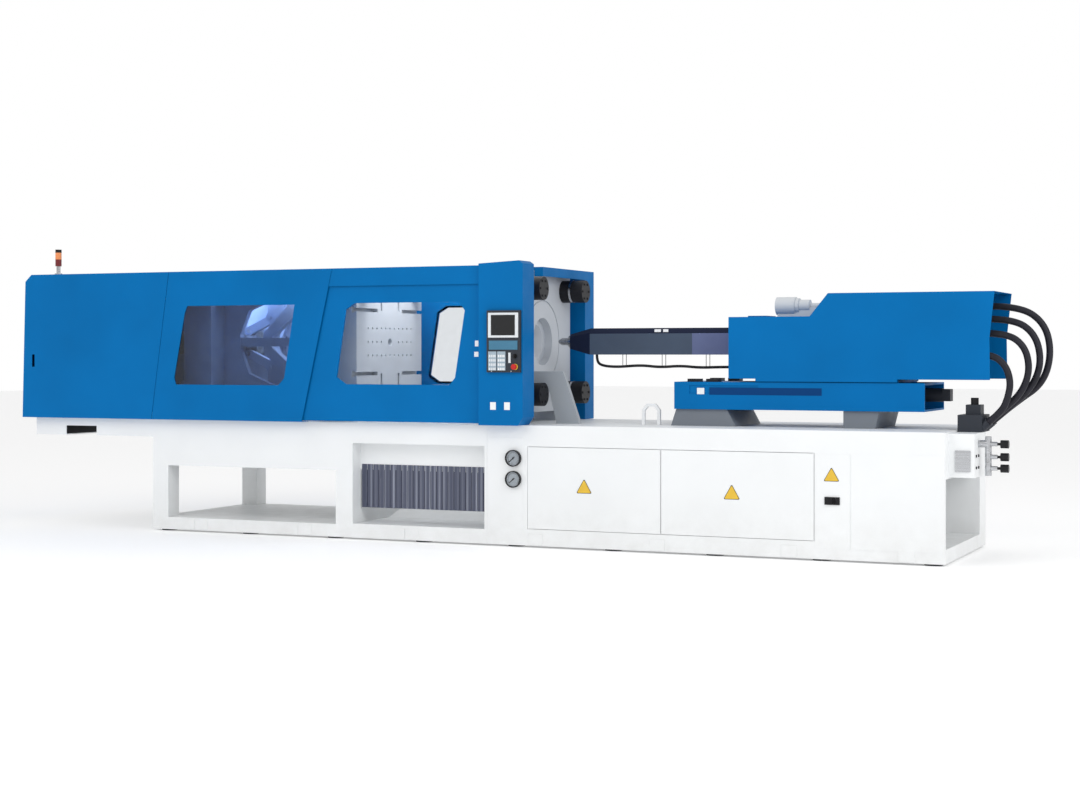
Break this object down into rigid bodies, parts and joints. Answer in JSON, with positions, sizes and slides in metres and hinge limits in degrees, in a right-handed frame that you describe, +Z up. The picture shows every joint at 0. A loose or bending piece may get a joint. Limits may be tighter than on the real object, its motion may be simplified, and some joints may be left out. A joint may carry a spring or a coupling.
{
  "type": "injection moulding machine",
  "caption": "Horizontal toggle-clamp injection moulding machine with sliding guard gates, barrel and injection carriage on a welded bed.",
  "frame": {"origin": "on the floor, under the middle of the length and of the tie bars; the box's own middle is 38.5 mm nearer the operator", "axes": "+X towards the injection end, +Y away from the operator, +Z up"},
  "size_m": [8.0746, 1.657, 2.241],
  "materials": {
    "white_paint": "satin",
    "blue_paint": "satin",
    "grey_casting": "satin",
    "steel": "ground",
    "dark_metal": "satin",
    "curtain": "ribbed",
    "glass": "clear",
    "rubber": "matte",
    "black_plastic": "matte",
    "red_plastic": "gloss",
    "iron": "machined",
    "lens": "gloss"
  },
  "bodies": {
    "machine": {"bed_panels": "white_paint", "carriage_beam": "blue_paint", "clamp_bed": "white_paint", "control_panel": "dark_metal", "control_post": "blue_paint", "cover_windows": "glass", "far_guard": "blue_paint", "gate_headers": "blue_paint", "hose_1": "rubber", "hose_2": "rubber", "hose_3": "rubber", "hose_4": "rubber", "injection_bed": "white_paint", "levelling_feet": "dark_metal", "manifold_block": "dark_metal", "middle_cover": "blue_paint", "oil_filter": "grey_casting", "pedestals": "grey_casting", "platen_braces": "grey_casting", "pressure_gauges": "dark_metal", "pump_motor": "dark_metal", "rear_cover": "blue_paint", "signal_tower": "lens", "stationary_platen": "grey_casting", "strip_curtain": "curtain", "tie_bar_nuts": "dark_metal", "tie_bars": "steel", "water_manifold": "steel"},
    "cabinet_door_left": {"cabinet_door_left": "white_paint"},
    "cabinet_door_right": {"cabinet_door_right": "white_paint"},
    "main_switch": {"main_switch_handle": "black_plastic"},
    "upper_needle": {"upper_gauge_needle": "black_plastic"},
    "lower_needle": {"lower_gauge_needle": "black_plastic"},
    "front_gate": {"front_gate": "blue_paint"},
    "rear_gate": {"rear_gate": "blue_paint"},
    "emergency_stop": {"emergency_stop": "red_plastic"},
    "selector": {"selector_knob": "black_plastic"},
    "tail": {"tail_platen": "grey_casting", "clamp_cylinder": "dark_metal"},
    "moving_platen": {"moving_platen": "grey_casting"},
    "ejector": {"ejector": "steel"},
    "crosshead": {"crosshead": "steel"},
    "rear_link_upper": {"rear_link_upper": "iron"},
    "rear_link_lower": {"rear_link_lower": "iron"},
    "front_link_upper": {"front_link_upper": "iron"},
    "front_link_lower": {"front_link_lower": "iron"},
    "crosshead_link_upper": {"crosshead_link_upper": "iron"},
    "crosshead_link_lower": {"crosshead_link_lower": "iron"},
    "carriage": {"unit_housing": "grey_casting", "hood": "blue_paint", "feed_motor": "grey_casting", "nozzle": "steel", "barrel": "steel", "barrel_cover": "dark_metal", "heater_cable": "rubber"},
    "screw_drive": {"screw_drive": "dark_metal"},
    "screw": {"screw": "steel"},
    "valve_knob_1": {"water_valve_knob_1": "black_plastic"},
    "valve_knob_2": {"water_valve_knob_2": "black_plastic"},
    "valve_knob_3": {"water_valve_knob_3": "black_plastic"}
  },
  "joints": [
    {"name": "cabinet_door_left_hinge", "type": "hinge", "parent": "machine", "child": "cabinet_door_left", "pos_m": [0.562, -0.706, 0.431], "axis": [0, 0, -1], "range_deg": [0, 110]},
    {"name": "cabinet_door_right_hinge", "type": "hinge", "parent": "machine", "child": "cabinet_door_right", "pos_m": [2.668, -0.706, 0.431], "axis": [0, 0, 1], "range_deg": [0, 110]},
    {"name": "main_switch_turn", "type": "hinge", "parent": "machine", "child": "main_switch", "pos_m": [2.8, -0.72, 0.409], "axis": [0, 1, 0], "range_deg": [0, 90]},
    {"name": "upper_needle_turn", "type": "hinge", "parent": "machine", "child": "upper_needle", "pos_m": [0.449, -0.727, 0.642], "axis": [0, 1, 0], "range_deg": [0, 270]},
    {"name": "lower_needle_turn", "type": "hinge", "parent": "machine", "child": "lower_needle", "pos_m": [0.449, -0.727, 0.49], "axis": [0, 1, 0], "range_deg": [0, 270]},
    {"name": "front_gate_slide", "type": "slide", "parent": "machine", "child": "front_gate", "axis": [-1, 0, 0], "range_m": [0, 0.9]},
    {"name": "rear_gate_slide", "type": "slide", "parent": "machine", "child": "rear_gate", "axis": [-1, 0, 0], "range_m": [0, 0.9]},
    {"name": "emergency_stop_press", "type": "slide", "parent": "machine", "child": "emergency_stop", "axis": [0, 1, 0], "range_m": [0, 0.005], "stiffness_N_per_m": 400},
    {"name": "selector_turn", "type": "hinge", "parent": "machine", "child": "selector", "pos_m": [0.516, -0.85, 1.378], "axis": [0, 1, 0], "range_deg": [-45, 45]},
    {"name": "mould_height", "type": "slide", "parent": "machine", "child": "tail", "axis": [1, 0, 0], "range_m": [-0.1, 0.2]},
    {"name": "clamp", "type": "slide", "parent": "tail", "child": "moving_platen", "axis": [1, 0, 0], "range_m": [0, 0.586]},
    {"name": "ejector_stroke", "type": "slide", "parent": "moving_platen", "child": "ejector", "axis": [1, 0, 0], "range_m": [0, 0.12]},
    {"name": "crosshead_slide", "type": "slide", "parent": "tail", "child": "crosshead", "axis": [1, 0, 0], "range_m": [0, 0.48307]},
    {"name": "rear_link_upper_pivot", "type": "hinge", "parent": "tail", "child": "rear_link_upper", "pos_m": [-1.84345, 0, 1.887], "axis": [0, -1, 0], "range_deg": [0, 105.11]},
    {"name": "front_link_upper_pivot", "type": "hinge", "parent": "moving_platen", "child": "front_link_upper", "pos_m": [-1.55, 0, 1.887], "axis": [0, 1, 0], "range_deg": [0, 42.01]},
    {"name": "crosshead_link_upper_pivot", "type": "hinge", "parent": "crosshead", "child": "crosshead_link_upper", "pos_m": [-2.20466, 0, 1.577], "axis": [0, -1, 0], "range_deg": [0, 43.89]},
    {"name": "rear_link_lower_pivot", "type": "hinge", "parent": "tail", "child": "rear_link_lower", "pos_m": [-1.84345, 0, 1.087], "axis": [0, 1, 0], "range_deg": [0, 105.11]},
    {"name": "front_link_lower_pivot", "type": "hinge", "parent": "moving_platen", "child": "front_link_lower", "pos_m": [-1.55, 0, 1.087], "axis": [0, -1, 0], "range_deg": [0, 42.01]},
    {"name": "crosshead_link_lower_pivot", "type": "hinge", "parent": "crosshead", "child": "crosshead_link_lower", "pos_m": [-2.20466, 0, 1.397], "axis": [0, 1, 0], "range_deg": [0, 43.89]},
    {"name": "carriage_slide", "type": "slide", "parent": "machine", "child": "carriage", "axis": [1, 0, 0], "range_m": [-0.28, 0.12], "deforming": ["hose_1", "hose_2", "hose_3", "hose_4"]},
    {"name": "injection_stroke", "type": "slide", "parent": "carriage", "child": "screw_drive", "axis": [1, 0, 0], "range_m": [0, 0.26]},
    {"name": "screw_turn", "type": "hinge", "parent": "screw_drive", "child": "screw", "pos_m": [2.4, 0, 1.487], "axis": [1, 0, 0], "continuous": true},
    {"name": "valve_1_turn", "type": "hinge", "parent": "machine", "child": "valve_knob_1", "pos_m": [3.88, -0.47, 0.8], "axis": [1, 0, 0], "range_deg": [0, 360]},
    {"name": "valve_2_turn", "type": "hinge", "parent": "machine", "child": "valve_knob_2", "pos_m": [3.88, -0.47, 0.715], "axis": [1, 0, 0], "range_deg": [0, 360]},
    {"name": "valve_3_turn", "type": "hinge", "parent": "machine", "child": "valve_knob_3", "pos_m": [3.88, -0.47, 0.64], "axis": [1, 0, 0], "range_deg": [0, 360]}
  ],
  "couplings": [
    {"joint": "crosshead_slide", "follows": "clamp", "ratio": 0.82271},
    {"joint": "rear_link_upper_pivot", "follows": "clamp", "rad_per_m": 3.1244},
    {"joint": "front_link_upper_pivot", "follows": "clamp", "rad_per_m": 1.2488},
    {"joint": "crosshead_link_upper_pivot", "follows": "clamp", "rad_per_m": 1.3046},
    {"joint": "rear_link_lower_pivot", "follows": "clamp", "rad_per_m": 3.1244},
    {"joint": "front_link_lower_pivot", "follows": "clamp", "rad_per_m": 1.2488},
    {"joint": "crosshead_link_lower_pivot", "follows": "clamp", "rad_per_m": 1.3046}
  ]
}
